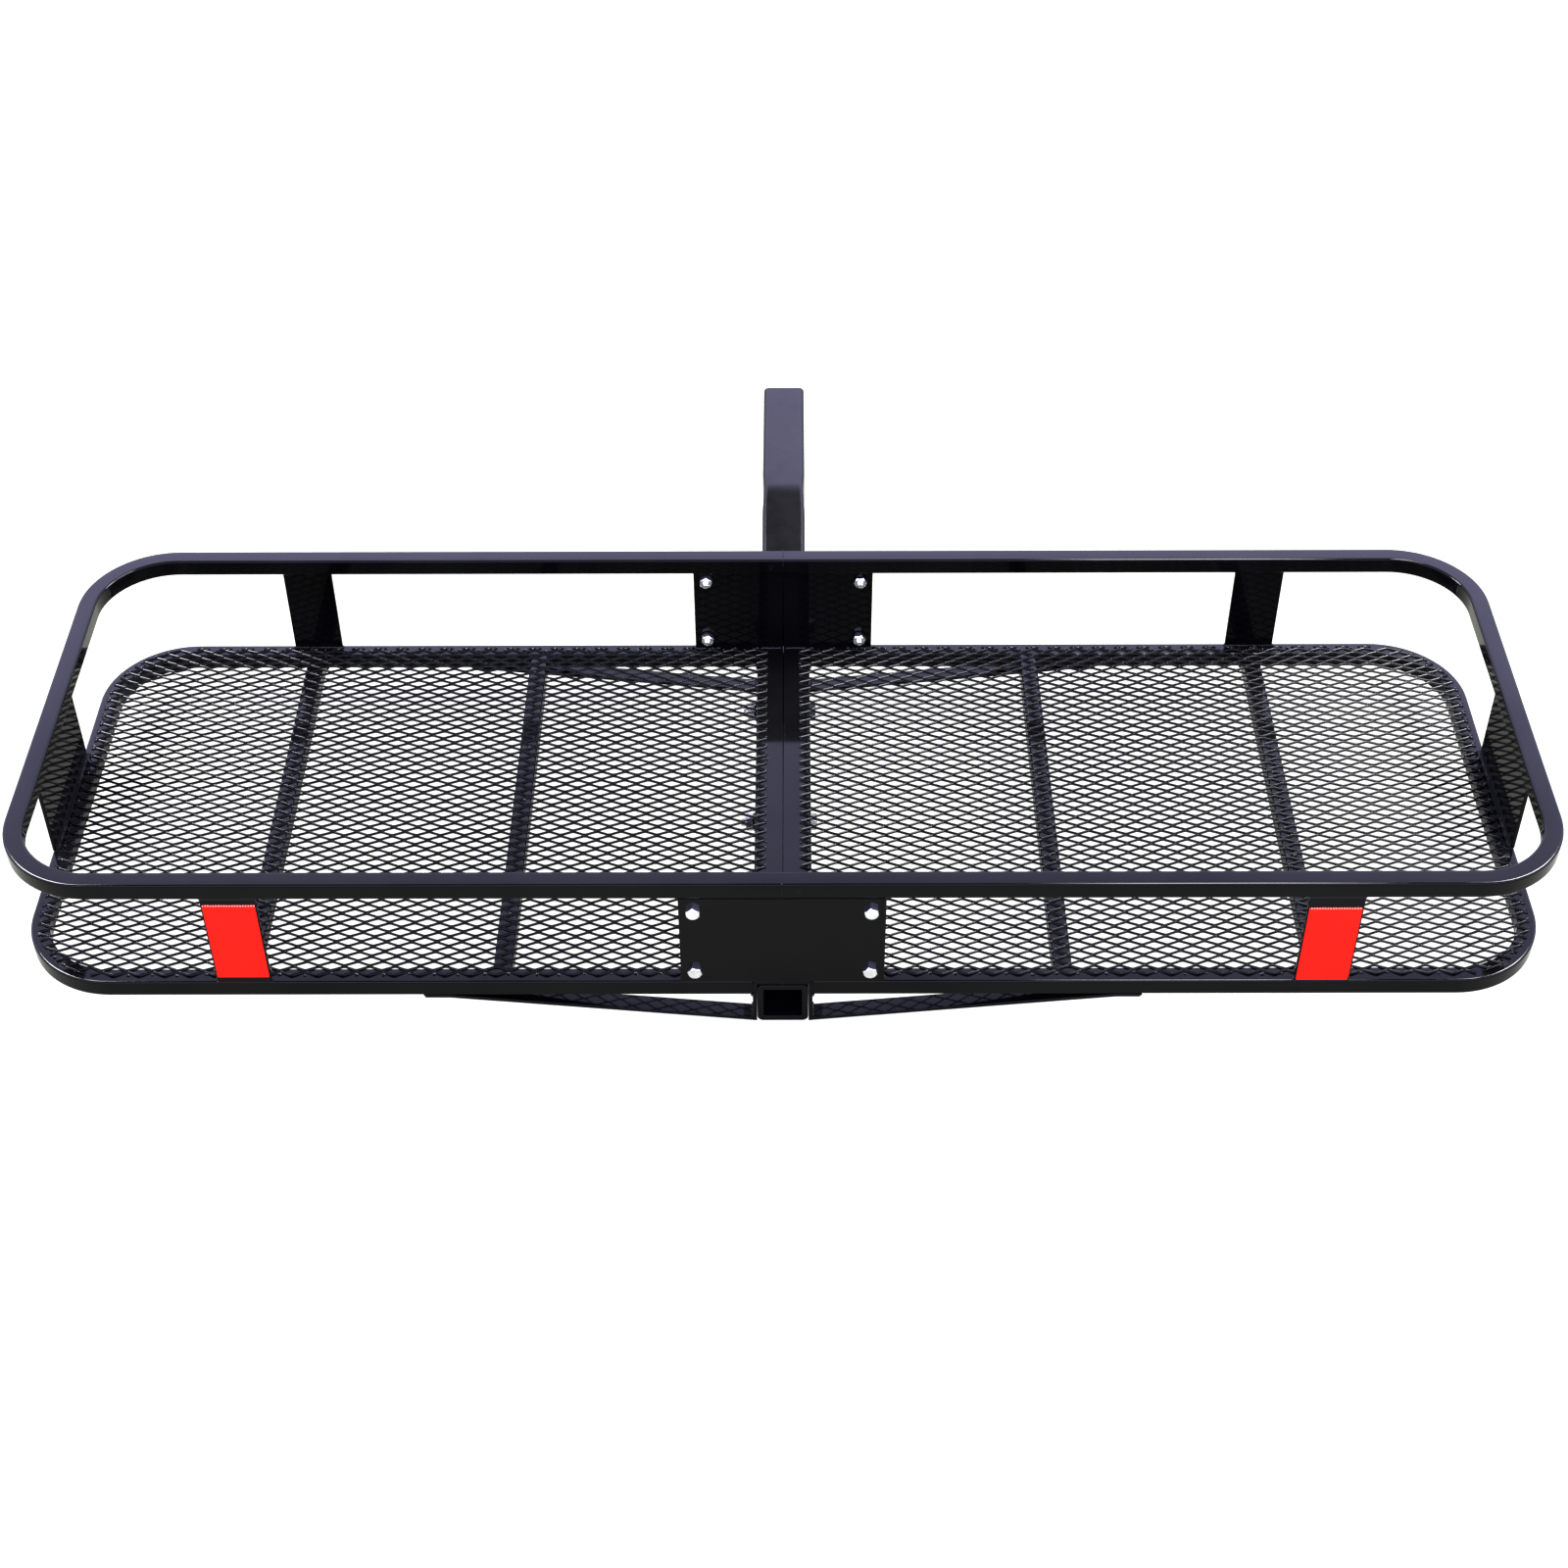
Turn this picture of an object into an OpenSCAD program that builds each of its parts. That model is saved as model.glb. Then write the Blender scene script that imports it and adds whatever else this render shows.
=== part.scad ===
// Hitch cargo carrier: a two-piece steel basket with an expanded-metal floor,
// bolted together over a 50.8 mm square shank that slides into a hitch receiver.
// X runs across the vehicle, +Y points at the vehicle and Z is up.
// The origin is the centre of the hitch-pin hole.

/* [Basket] */
// Overall length of the basket, across the vehicle
basket_length = 1524; // [1200:1:1850]
// Overall width of the basket, along the vehicle
basket_width = 527; // [440:1:700]
// Height from the underside of the floor rail to the top of the top rail
basket_height = 153; // [120:0.5:250]
// Outer radius of the basket's corners, seen from above
corner_radius = 95; // [60:1:140]
// Gap between the left and the right half of the basket
seam_gap = 1; // [0.5:0.5:3]

/* [Rails and cross bars] */
// Side of the square rail tube
rail_side = 19; // [16:0.5:26]
// Wall of the square rail tube
rail_wall = 1.5; // [1:0.1:3]
// Outer edge radius of the square rail tube
rail_edge_radius = 2; // [1:0.5:4]
// Distance from the basket's end to the outer cross bars and the posts
outer_bar_inset = 231; // [200:1:280]
// Distance between an outer and an inner cross bar
bar_spacing = 253; // [180:1:260]

/* [Posts and plates] */
// Width of the four posts
post_width = 54; // [30:1:80]
// Width of the plate in the middle of each end
end_plate_width = 152; // [80:1:200]
// Width of the splice plates that join the two halves
splice_plate_width = 200; // [160:1:240]
// Thickness of the posts, the end plates and the splice plates
plate_thickness = 4; // [3:0.5:6]
// Thickness of the welded tabs behind the splice plates
tab_thickness = 3; // [2:0.5:6]

/* [Floor mesh] */
// Pitch of the diamonds along the basket
mesh_long_pitch = 50.5; // [40:0.1:80]
// Pitch of the diamonds across the basket
mesh_short_pitch = 26.8; // [22:0.1:50]
// Width of a strand between two diamonds
mesh_strand = 3.2; // [2:0.1:6]
// Thickness of the mesh panel
mesh_thickness = 2; // [1:0.1:4]
// Distance from the basket's outline to the edge of the mesh
mesh_inset = 7.5; // [4:0.5:12]
// Overlap of the mesh on the saddle angles
mesh_lap = 12; // [6:0.5:20]

/* [Saddle and arms] */
// Thickness of the saddle angles
angle_thickness = 4; // [3:0.5:6]
// Height of the saddle angles' upright legs
angle_height = 56.5; // [40:0.5:60]
// Outer corner radius of the saddle angles
angle_corner_radius = 4; // [2:0.5:8]
// Clearance between the shank and each saddle angle, at the sides
saddle_side_clearance = 0.3; // [0.1:0.1:1]
// Clearance between the shank and the saddle angles, at the top
saddle_top_clearance = 2; // [0.5:0.5:4]
// Distance from the seam to the outer end of the arms
arm_reach = 355; // [250:1:400]
// Length of an arm's flat end under the rail
arm_landing = 25; // [10:1:50]
// Width of an arm
arm_width = 19; // [12:0.5:19]
// Thickness of an arm
arm_thickness = 4; // [3:0.5:6]

/* [Shank] */
// Side of the square shank tube
shank_side = 50.8; // [38:0.1:51]
// Wall of the shank tube
shank_wall = 6.35; // [3:0.05:8]
// Distance from the basket's edge to the first bend
first_bend_offset = 64; // [40:1:120]
// Level length of the sloping stretch
slope_run = 182; // [150:1:260]
// Height of the level end above the stretch under the basket
shank_rise = 50; // [20:1:80]
// Length of the level end, from the second bend
level_end_length = 216; // [180:1:320]
// Diameter of the hitch-pin hole
pin_hole_diameter = 16.5; // [16.2:0.1:16.8]
// Distance from the shank's end to the hitch-pin hole
pin_from_end = 63.5; // [50:0.5:90]

/* [Fasteners] */
// Thread diameter of the splice bolts
splice_bolt_diameter = 8; // [6:1:10]
// Width across flats of the splice bolts and nuts
splice_bolt_flats = 13; // [10:1:17]
// Distance from a splice plate's side edge to its bolts
splice_bolt_side_inset = 14; // [10:1:25]
// Distance from a splice plate's top or bottom edge to its bolts
splice_bolt_edge_inset = 16.5; // [11:0.25:25]
// Thread diameter of the shank bolts
shank_bolt_diameter = 10; // [8:1:12]
// Width across flats of the shank bolts and nuts
shank_bolt_flats = 17; // [13:1:19]
// Distance from the basket's edge to the outer shank bolts
shank_bolt_inset = 83.5; // [40:0.5:120]
// Extra diameter of every bolt hole
bolt_hole_clearance = 1; // [0.4:0.1:2]
// Length of thread that stands out of each nut
thread_past_nut = 5; // [2:0.5:10]

/* [Reflectors] */
// Width of the reflective tape
reflector_width = 50.8; // [25:0.1:54]
// Length of the reflective tape, up the post
reflector_length = 100; // [50:0.5:105]
// Height of the left tape's lower edge above the floor rail
left_reflector_lift = 8; // [1:0.5:10]
// Height of the right tape's lower edge above the floor rail
right_reflector_lift = 2; // [1:0.5:10]
// Thickness of the reflective tape
reflector_thickness = 0.5; // [0.3:0.1:2]

/* [Hidden] */

$fn = 64;
HEX = 6;
LEFT = -1;
RIGHT = 1;
TAIL = -1;
CAR = 1;
PAINT = [0.13, 0.13, 0.15];
ZINC = [0.78, 0.79, 0.8];
REFLECTIVE_RED = [0.95, 0.12, 0.07];

// Usual proportions of hexagon fasteners, as a share of the thread diameter
HEAD_HEIGHT_RATIO = 0.66;
NUT_HEIGHT_RATIO = 0.82;
WASHER_DIAMETER_RATIO = 2;
WASHER_THICKNESS_RATIO = 0.2;
WASHER_HOLE_RATIO = 1.05;
THREAD_PLAY = 0.1;
CUT_PAST = 1;

half_length = basket_length / 2;
half_width = basket_width / 2;
rail_top = rail_side;
top_rail_bottom = basket_height - rail_side;
side_gap = top_rail_bottom - rail_top;
side_middle = (top_rail_bottom + rail_top) / 2;
saddle_face = shank_side / 2 + saddle_side_clearance + angle_thickness;
outer_bar_x = half_length - outer_bar_inset;
inner_bar_x = outer_bar_x - bar_spacing;
angle_bottom = rail_top - angle_height;

shank_near_z = rail_top - angle_thickness - saddle_top_clearance - shank_side / 2;
shank_far_z = shank_near_z + shank_rise;
slope_angle = atan(shank_rise / slope_run);
first_bend_y = half_width + first_bend_offset;
second_bend_y = first_bend_y + slope_run;
shank_end_y = second_bend_y + level_end_length;
pin_y = shank_end_y - pin_from_end;

splice_bolt_x = splice_plate_width / 2 - splice_bolt_side_inset;
splice_bolt_z = side_gap / 2 - splice_bolt_edge_inset;
splice_grip = plate_thickness + tab_thickness;
splice_head_y = half_width;
splice_washer_y = half_width - splice_grip;
shank_bolt_spots = [-half_width + shank_bolt_inset, 0, half_width - shank_bolt_inset];

// Moves the basket's own frame, centred on the floor rail's underside, to the pin hole
module from_pin() {
    translate([0, -pin_y, -shank_far_z]) children();
}

// Puts a piece drawn for the right-hand, car-side quarter on any quarter
module place(x_side, y_side) {
    from_pin()
        mirror([x_side == LEFT ? 1 : 0, 0, 0])
            mirror([0, y_side == TAIL ? 1 : 0, 0])
                children();
}

module rounded_square(side, radius) {
    square([side, side - 2 * radius], center = true);
    square([side - 2 * radius, side], center = true);
    for (x = [-1, 1], y = [-1, 1])
        translate([x * (side / 2 - radius), y * (side / 2 - radius)]) circle(radius);
}

module rail_section() {
    difference() {
        rounded_square(rail_side, rail_edge_radius);
        square(rail_side - 2 * rail_wall, center = true);
    }
}

// A section drawn in the XY plane, swept along +X
module sweep_x(length) {
    rotate([90, 0, 90]) linear_extrude(length) children();
}

// The same, swept along +Y
module sweep_y(length) {
    rotate([-90, 0, 0]) linear_extrude(length) children();
}

// The right half of a rail, a C seen from above, which starts at start_x from the seam
module half_rail(start_x) {
    bend_x = half_length - corner_radius;
    bend_y = half_width - corner_radius;
    translate([0, 0, rail_side / 2]) {
        for (y_side = [TAIL, CAR]) {
            translate([start_x, y_side * (half_width - rail_side / 2), 0])
                sweep_x(bend_x - start_x) rail_section();
            translate([bend_x, y_side * bend_y, 0])
                rotate([0, 0, y_side == TAIL ? -90 : 0])
                    rotate_extrude(angle = 90)
                        translate([corner_radius - rail_side / 2, 0]) rail_section();
        }
        translate([half_length - rail_side / 2, -bend_y, 0]) sweep_y(2 * bend_y) rail_section();
    }
}

module floor_rail() {
    color(PAINT) half_rail(saddle_face);
}

module top_rail() {
    color(PAINT) translate([0, 0, top_rail_bottom]) half_rail(seam_gap / 2);
}

// An angle that sits over one side of the shank, with its holes for the shank bolts
module saddle_angle() {
    hole = shank_bolt_diameter + bolt_hole_clearance;
    color(PAINT)
        difference() {
            translate([0, half_width, 0])
                rotate([90, 0, 0]) linear_extrude(basket_width) angle_section();
            for (y = shank_bolt_spots)
                translate([saddle_face - angle_thickness - CUT_PAST, y, shank_near_z])
                    rotate([0, 90, 0]) cylinder(h = angle_thickness + 2 * CUT_PAST, d = hole);
        }
}

module angle_section() {
    radius = angle_corner_radius;
    top_leg = saddle_face - seam_gap / 2;
    translate([seam_gap / 2, rail_top - angle_thickness])
        square([top_leg - radius, angle_thickness]);
    translate([saddle_face - angle_thickness, angle_bottom])
        square([angle_thickness, angle_height - radius]);
    intersection() {
        translate([saddle_face - radius, rail_top - radius]) circle(radius);
        translate([saddle_face - radius, rail_top - radius]) square(radius);
    }
}

// A cross bar between the tail-side and the car-side floor rails, level with them
module crossbar(x) {
    clear_width = basket_width - 2 * rail_side;
    color(PAINT)
        translate([x, -clear_width / 2, rail_side / 2]) sweep_y(clear_width) rail_section();
}

// True for a diamond centre at which a whole diamond and its border lie inside the mesh panel
function diamond_fits(x, y) =
    let (bend_x = half_length - corner_radius)
    let (bend_y = half_width - corner_radius)
    let (reach = corner_radius - mesh_inset - mesh_strand)
    let (past_x = max(0, x + mesh_long_pitch / 2 - bend_x))
    let (past_y = max(0, abs(y) + mesh_short_pitch / 2 - bend_y))
    norm([past_x, past_y]) <= reach;

module diamond() {
    half_long = mesh_long_pitch / 2 - mesh_strand;
    half_short = mesh_short_pitch / 2 - mesh_strand / 2;
    polygon([[half_long, 0], [0, half_short], [-half_long, 0], [0, -half_short]]);
}

module mesh_outline(start_x) {
    bend_x = half_length - corner_radius;
    bend_y = half_width - corner_radius;
    edge_y = half_width - mesh_inset;
    translate([start_x, -edge_y]) square([bend_x - start_x, 2 * edge_y]);
    translate([start_x, -bend_y]) square([half_length - mesh_inset - start_x, 2 * bend_y]);
    for (y = [-bend_y, bend_y])
        translate([bend_x, y]) circle(corner_radius - mesh_inset);
}

// Expanded metal: rows of diamonds, each column shifted by half a pitch from the next
module mesh_panel() {
    start_x = saddle_face - mesh_lap;
    first_x = start_x + mesh_strand + mesh_long_pitch / 2;
    columns = floor(2 * (half_length - first_x) / mesh_long_pitch);
    rows = ceil(half_width / mesh_short_pitch);
    color(PAINT)
        translate([0, 0, rail_top])
            linear_extrude(mesh_thickness)
                difference() {
                    mesh_outline(start_x);
                    for (column = [0:columns], row = [-rows:rows]) {
                        x = first_x + column * mesh_long_pitch / 2;
                        y = (row + (column % 2) / 2) * mesh_short_pitch;
                        if (diamond_fits(x, y)) translate([x, y]) diamond();
                    }
                }
}

// The plate in the middle of a basket end, flush with the rails' outer faces
module end_plate() {
    color(PAINT)
        translate([half_length - plate_thickness, -end_plate_width / 2, rail_top])
            cube([plate_thickness, end_plate_width, side_gap]);
}

module post() {
    color(PAINT)
        translate([outer_bar_x - post_width / 2, half_width - plate_thickness, rail_top])
            cube([post_width, plate_thickness, side_gap]);
}

// The four bolt holes of a splice plate, or the two of a tab
module splice_holes(x_sides, start_y, depth) {
    for (x_side = x_sides, z_side = [-1, 1])
        translate([x_side * splice_bolt_x, start_y - CUT_PAST, side_middle + z_side * splice_bolt_z])
            rotate([-90, 0, 0])
                cylinder(h = depth + 2 * CUT_PAST, d = splice_bolt_diameter + bolt_hole_clearance);
}

module splice_plate() {
    start_y = half_width - plate_thickness;
    color(PAINT)
        difference() {
            translate([-splice_plate_width / 2, start_y, rail_top])
                cube([splice_plate_width, plate_thickness, side_gap]);
            splice_holes([LEFT, RIGHT], start_y, plate_thickness);
        }
}

// The tab that is welded between the rails of one half, behind the splice plate
module splice_tab() {
    start_y = splice_washer_y;
    color(PAINT)
        difference() {
            translate([seam_gap / 2, start_y, rail_top])
                cube([(splice_plate_width - seam_gap) / 2, tab_thickness, side_gap]);
            splice_holes([RIGHT], start_y, tab_thickness);
        }
}

// A flat bar from the underside of the floor rail down to the foot of the saddle angle
module arm() {
    landing_x = arm_reach - arm_landing;
    foot_z = angle_bottom + arm_thickness;
    color(PAINT)
        translate([0, half_width, 0])
            rotate([90, 0, 0])
                linear_extrude(arm_width)
                    polygon([
                        [arm_reach, 0],
                        [landing_x, 0],
                        [saddle_face, foot_z],
                        [saddle_face, foot_z - arm_thickness],
                        [landing_x, -arm_thickness],
                        [arm_reach, -arm_thickness]
                    ]);
}

// Self-adhesive reflective tape on the outer face of a post
module reflector(lift) {
    color(REFLECTIVE_RED)
        translate([outer_bar_x - reflector_width / 2, half_width, rail_top + lift])
            cube([reflector_width, reflector_thickness, reflector_length]);
}

// The shank seen from the side, Y to the right and Z up: level, up the slope and level again,
// half_depth above and below its axis, and end_past beyond both ends
module shank_profile(half_depth, end_past) {
    tail_y = -half_width - end_past;
    car_y = shank_end_y + end_past;
    mitre = half_depth * tan(slope_angle / 2);
    polygon([
        [tail_y, shank_near_z + half_depth],
        [first_bend_y - mitre, shank_near_z + half_depth],
        [second_bend_y - mitre, shank_far_z + half_depth],
        [car_y, shank_far_z + half_depth],
        [car_y, shank_far_z - half_depth],
        [second_bend_y + mitre, shank_far_z - half_depth],
        [first_bend_y + mitre, shank_near_z - half_depth],
        [tail_y, shank_near_z - half_depth]
    ]);
}

module cross_hole(y, z, diameter) {
    translate([-shank_side / 2 - CUT_PAST, y, z])
        rotate([0, 90, 0]) cylinder(h = shank_side + 2 * CUT_PAST, d = diameter);
}

// The square tube under the basket, which rises past the rail and runs level into the receiver
module hitch_shank() {
    shank_bore = shank_side - 2 * shank_wall;
    color(PAINT)
        difference() {
            translate([-shank_side / 2, 0, 0]) sweep_x(shank_side) shank_profile(shank_side / 2, 0);
            translate([-shank_bore / 2, 0, 0]) sweep_x(shank_bore) shank_profile(shank_bore / 2, CUT_PAST);
            for (y = shank_bolt_spots)
                cross_hole(y, shank_near_z, shank_bolt_diameter + bolt_hole_clearance);
            cross_hole(pin_y, shank_far_z, pin_hole_diameter);
        }
}

// A hexagon bolt along +Z: its head stands on the far side of z = 0
module hex_bolt(diameter, flats, length) {
    head = diameter * HEAD_HEIGHT_RATIO;
    translate([0, 0, -head]) cylinder(h = head, d = flats / cos(180 / HEX), $fn = HEX);
    cylinder(h = length, d = diameter);
}

module hex_nut(diameter, flats) {
    height = diameter * NUT_HEIGHT_RATIO;
    difference() {
        cylinder(h = height, d = flats / cos(180 / HEX), $fn = HEX);
        translate([0, 0, -CUT_PAST])
            cylinder(h = height + 2 * CUT_PAST, d = diameter + THREAD_PLAY);
    }
}

module washer(diameter) {
    thickness = diameter * WASHER_THICKNESS_RATIO;
    difference() {
        cylinder(h = thickness, d = diameter * WASHER_DIAMETER_RATIO);
        translate([0, 0, -CUT_PAST])
            cylinder(h = thickness + 2 * CUT_PAST, d = diameter * WASHER_HOLE_RATIO);
    }
}

// Repeats a fastener at all eight splice bolts, along each bolt from its head to its nut
module at_splice_bolts(start_y) {
    for (y_side = [TAIL, CAR], x_side = [LEFT, RIGHT], z_side = [-1, 1])
        mirror([0, y_side == TAIL ? 1 : 0, 0])
            translate([x_side * splice_bolt_x, start_y, side_middle + z_side * splice_bolt_z])
                rotate([90, 0, 0]) children();
}

// Repeats a fastener at the three shank bolts, along each bolt from its head to its nut
module at_shank_bolts(start_x) {
    for (y = shank_bolt_spots)
        translate([start_x, y, shank_near_z]) rotate([0, -90, 0]) children();
}

function stack_past_grip(diameter) =
    diameter * (WASHER_THICKNESS_RATIO + NUT_HEIGHT_RATIO) + thread_past_nut;

module splice_bolts() {
    color(ZINC)
        at_splice_bolts(splice_head_y)
            hex_bolt(
                splice_bolt_diameter,
                splice_bolt_flats,
                splice_grip + stack_past_grip(splice_bolt_diameter)
            );
}

module splice_washers() {
    color(ZINC) at_splice_bolts(splice_washer_y) washer(splice_bolt_diameter);
}

module splice_nuts() {
    start_y = splice_washer_y - splice_bolt_diameter * WASHER_THICKNESS_RATIO;
    color(ZINC) at_splice_bolts(start_y) hex_nut(splice_bolt_diameter, splice_bolt_flats);
}

module shank_bolts() {
    color(ZINC)
        at_shank_bolts(saddle_face)
            hex_bolt(
                shank_bolt_diameter,
                shank_bolt_flats,
                2 * saddle_face + stack_past_grip(shank_bolt_diameter)
            );
}

module shank_washers() {
    color(ZINC) at_shank_bolts(-saddle_face) washer(shank_bolt_diameter);
}

module shank_nuts() {
    start_x = -saddle_face - shank_bolt_diameter * WASHER_THICKNESS_RATIO;
    color(ZINC) at_shank_bolts(start_x) hex_nut(shank_bolt_diameter, shank_bolt_flats);
}

place(LEFT, CAR) floor_rail();  // left_floor_rail
place(RIGHT, CAR) floor_rail();  // right_floor_rail
place(LEFT, CAR) top_rail();  // left_top_rail
place(RIGHT, CAR) top_rail();  // right_top_rail
place(LEFT, CAR) saddle_angle();  // left_saddle_angle
place(RIGHT, CAR) saddle_angle();  // right_saddle_angle
place(LEFT, CAR) crossbar(outer_bar_x);  // left_outer_crossbar
place(RIGHT, CAR) crossbar(outer_bar_x);  // right_outer_crossbar
place(LEFT, CAR) crossbar(inner_bar_x);  // left_inner_crossbar
place(RIGHT, CAR) crossbar(inner_bar_x);  // right_inner_crossbar
place(LEFT, CAR) mesh_panel();  // left_mesh_panel
place(RIGHT, CAR) mesh_panel();  // right_mesh_panel
place(LEFT, CAR) end_plate();  // left_end_plate
place(RIGHT, CAR) end_plate();  // right_end_plate
place(LEFT, TAIL) post();  // tail_left_post
place(RIGHT, TAIL) post();  // tail_right_post
place(LEFT, CAR) post();  // car_left_post
place(RIGHT, CAR) post();  // car_right_post
place(LEFT, TAIL) splice_tab();  // tail_left_tab
place(RIGHT, TAIL) splice_tab();  // tail_right_tab
place(LEFT, CAR) splice_tab();  // car_left_tab
place(RIGHT, CAR) splice_tab();  // car_right_tab
place(RIGHT, TAIL) splice_plate();  // tail_splice_plate
place(RIGHT, CAR) splice_plate();  // car_splice_plate
from_pin() hitch_shank();
place(LEFT, TAIL) arm();  // tail_left_arm
place(RIGHT, TAIL) arm();  // tail_right_arm
place(LEFT, CAR) arm();  // car_left_arm
place(RIGHT, CAR) arm();  // car_right_arm
place(LEFT, TAIL) reflector(left_reflector_lift);  // tail_left_reflector
place(RIGHT, TAIL) reflector(right_reflector_lift);  // tail_right_reflector
from_pin() splice_bolts();
from_pin() splice_washers();
from_pin() splice_nuts();
from_pin() shank_bolts();
from_pin() shank_washers();
from_pin() shank_nuts();
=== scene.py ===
import math
import random

import bmesh
import bpy
from mathutils import Matrix, Vector


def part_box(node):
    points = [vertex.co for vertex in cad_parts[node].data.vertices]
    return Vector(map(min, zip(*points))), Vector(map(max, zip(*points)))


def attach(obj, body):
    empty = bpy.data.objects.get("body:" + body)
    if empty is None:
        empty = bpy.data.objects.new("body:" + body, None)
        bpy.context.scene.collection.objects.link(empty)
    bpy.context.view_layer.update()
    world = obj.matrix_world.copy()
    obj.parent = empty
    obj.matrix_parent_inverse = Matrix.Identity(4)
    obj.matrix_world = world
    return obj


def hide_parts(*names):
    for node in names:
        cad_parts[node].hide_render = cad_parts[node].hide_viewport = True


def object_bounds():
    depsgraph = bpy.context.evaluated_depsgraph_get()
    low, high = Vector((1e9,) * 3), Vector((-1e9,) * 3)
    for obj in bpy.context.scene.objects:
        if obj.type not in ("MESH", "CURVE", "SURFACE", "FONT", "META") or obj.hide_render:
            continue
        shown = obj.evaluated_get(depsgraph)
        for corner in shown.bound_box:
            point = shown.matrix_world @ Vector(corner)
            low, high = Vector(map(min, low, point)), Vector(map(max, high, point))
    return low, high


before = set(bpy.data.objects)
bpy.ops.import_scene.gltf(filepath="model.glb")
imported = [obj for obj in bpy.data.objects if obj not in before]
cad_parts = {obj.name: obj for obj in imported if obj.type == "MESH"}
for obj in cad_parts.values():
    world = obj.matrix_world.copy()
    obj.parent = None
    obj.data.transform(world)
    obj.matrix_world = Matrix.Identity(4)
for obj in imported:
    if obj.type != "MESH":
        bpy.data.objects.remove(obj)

# Looks of a hitch cargo carrier: a black powder-coated steel basket in two halves, with an
# expanded-metal floor, bolted over a square shank. X runs across the vehicle, +Y points at it,
# and the origin is the middle of the hitch-pin hole. The tail is the side away from the vehicle.
# Lengths are in metres.

CAD_LOW, CAD_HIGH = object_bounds()
MM = 0.001
LEFT, RIGHT = -1, 1
TAIL, CAR = -1, 1
SIDE_NAMES = {LEFT: "left", RIGHT: "right"}

# ---------------------------------------------------------------- places taken from the frame
FLOOR_RAIL_LOW, FLOOR_RAIL_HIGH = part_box("right_floor_rail")
POST_LOW, POST_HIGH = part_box("car_right_post")
PLATE_LOW, PLATE_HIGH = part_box("right_end_plate")
TAB_LOW, TAB_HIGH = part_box("car_right_tab")
SHANK_LOW, SHANK_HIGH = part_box("hitch_shank")
ARM_LOW, ARM_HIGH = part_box("car_right_arm")
PANEL_LOW, PANEL_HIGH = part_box("right_mesh_panel")

RAIL_SIDE = FLOOR_RAIL_HIGH.z - FLOOR_RAIL_LOW.z
MIDDLE_Y = (FLOOR_RAIL_LOW.y + FLOOR_RAIL_HIGH.y) / 2
HALF_WIDTH = (FLOOR_RAIL_HIGH.y - FLOOR_RAIL_LOW.y) / 2
HALF_LENGTH = FLOOR_RAIL_HIGH.x
UNDERSIDE_Z = FLOOR_RAIL_LOW.z
RAIL_TOP_Z = FLOOR_RAIL_HIGH.z
TOP_RAIL_UNDER_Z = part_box("right_top_rail")[0].z
OUTER_BAR_X = (POST_LOW.x + POST_HIGH.x) / 2
HALF_POST = (POST_HIGH.x - POST_LOW.x) / 2
SADDLE_FACE_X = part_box("right_saddle_angle")[1].x
CROSSBARS = [f"{spot}_crossbar" for spot in ("left_outer", "left_inner", "right_inner", "right_outer")]

# ---------------------------------------------------------------- rails and flat steel
CORNER_RADIUS, CORNER_STEPS = 95 * MM, 22
BEND_X = HALF_LENGTH - CORNER_RADIUS
BEND_Y = HALF_WIDTH - CORNER_RADIUS
RAIL_EDGE, RAIL_EDGE_STEPS = 2.2 * MM, 4
SEAM_GAP = 0.25 * MM
SAWN_EDGE = 0.45 * MM
BAR_EDGE, PLATE_EDGE, SHEET_EDGE = 0.7 * MM, 0.8 * MM, 0.5 * MM

# ---------------------------------------------------------------- expanded metal
LONG_PITCH, SHORT_PITCH = 25.25 * MM, 13.4 * MM
STRAND_WIDTH, STRAND_THICKNESS = 2.75 * MM, 1.5 * MM
STRAND_TILT = math.radians(38)
STRAND_CHAMFER = 0.3 * MM
BOND_LENGTH = 1.8 * MM
BOND_SHARE = 0.3
MESH_SINK = 0.2 * MM
MESH_LIFT_SHARE = 0.8
CORNER_CUT_DEGREES = 12

# ---------------------------------------------------------------- shank
SHANK_SIDE = SHANK_HIGH.x - SHANK_LOW.x
SHANK_NEAR_Z = SHANK_LOW.z + SHANK_SIDE / 2
SHANK_FAR_Z = SHANK_HIGH.z - SHANK_SIDE / 2
SHANK_WALL = 6.35 * MM
SHANK_EDGE, SHANK_BORE_EDGE, SHANK_EDGE_STEPS = 6 * MM, 1.2 * MM, 6
SHANK_RIM_EDGE = 0.9 * MM
SHANK_BEND_RADIUS, SHANK_BEND_STEPS = 56 * MM, 10
SHANK_FIRST_BEND_Y = MIDDLE_Y + HALF_WIDTH + 64 * MM
SHANK_SLOPE_RUN = 182 * MM
BORE_OVERRUN = 5 * MM
PINCH_DEPTH, PINCH_SPREAD = 0.055, 1.5
PINCH_REACH, PINCH_STEPS = 26 * MM, 6
PIN_HOLE_RADIUS = 8.25 * MM

# ---------------------------------------------------------------- fasteners
SPLICE_THREAD, SPLICE_PITCH, SPLICE_FLATS = 8 * MM, 1.25 * MM, 13 * MM
SHANK_THREAD, SHANK_PITCH, SHANK_FLATS = 10 * MM, 1.5 * MM, 17 * MM
HEAD_RATIO, NUT_RATIO, WASHER_RATIO = 0.66, 0.82, 0.2
WASHER_HOLE_RATIO, WASHER_EDGE = 0.53, 0.2 * MM
THREAD_PAST_NUT = 5 * MM
THREAD_DEPTH_RATIO, THREAD_ROOT_SINK = 0.61, 0.05 * MM
CHAMFER_RATIO, CHAMFERED_SHARE = 0.17, 0.8
BLANK_ROOM = 1.02
ROUND_STEPS, NUT_HOLE_STEPS, BOLT_STEPS, THREAD_STEPS = 48, 40, 32, 20
HEAD_TURNS = (12, 17, 28, 20, 5, 40, 14, 33)
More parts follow.
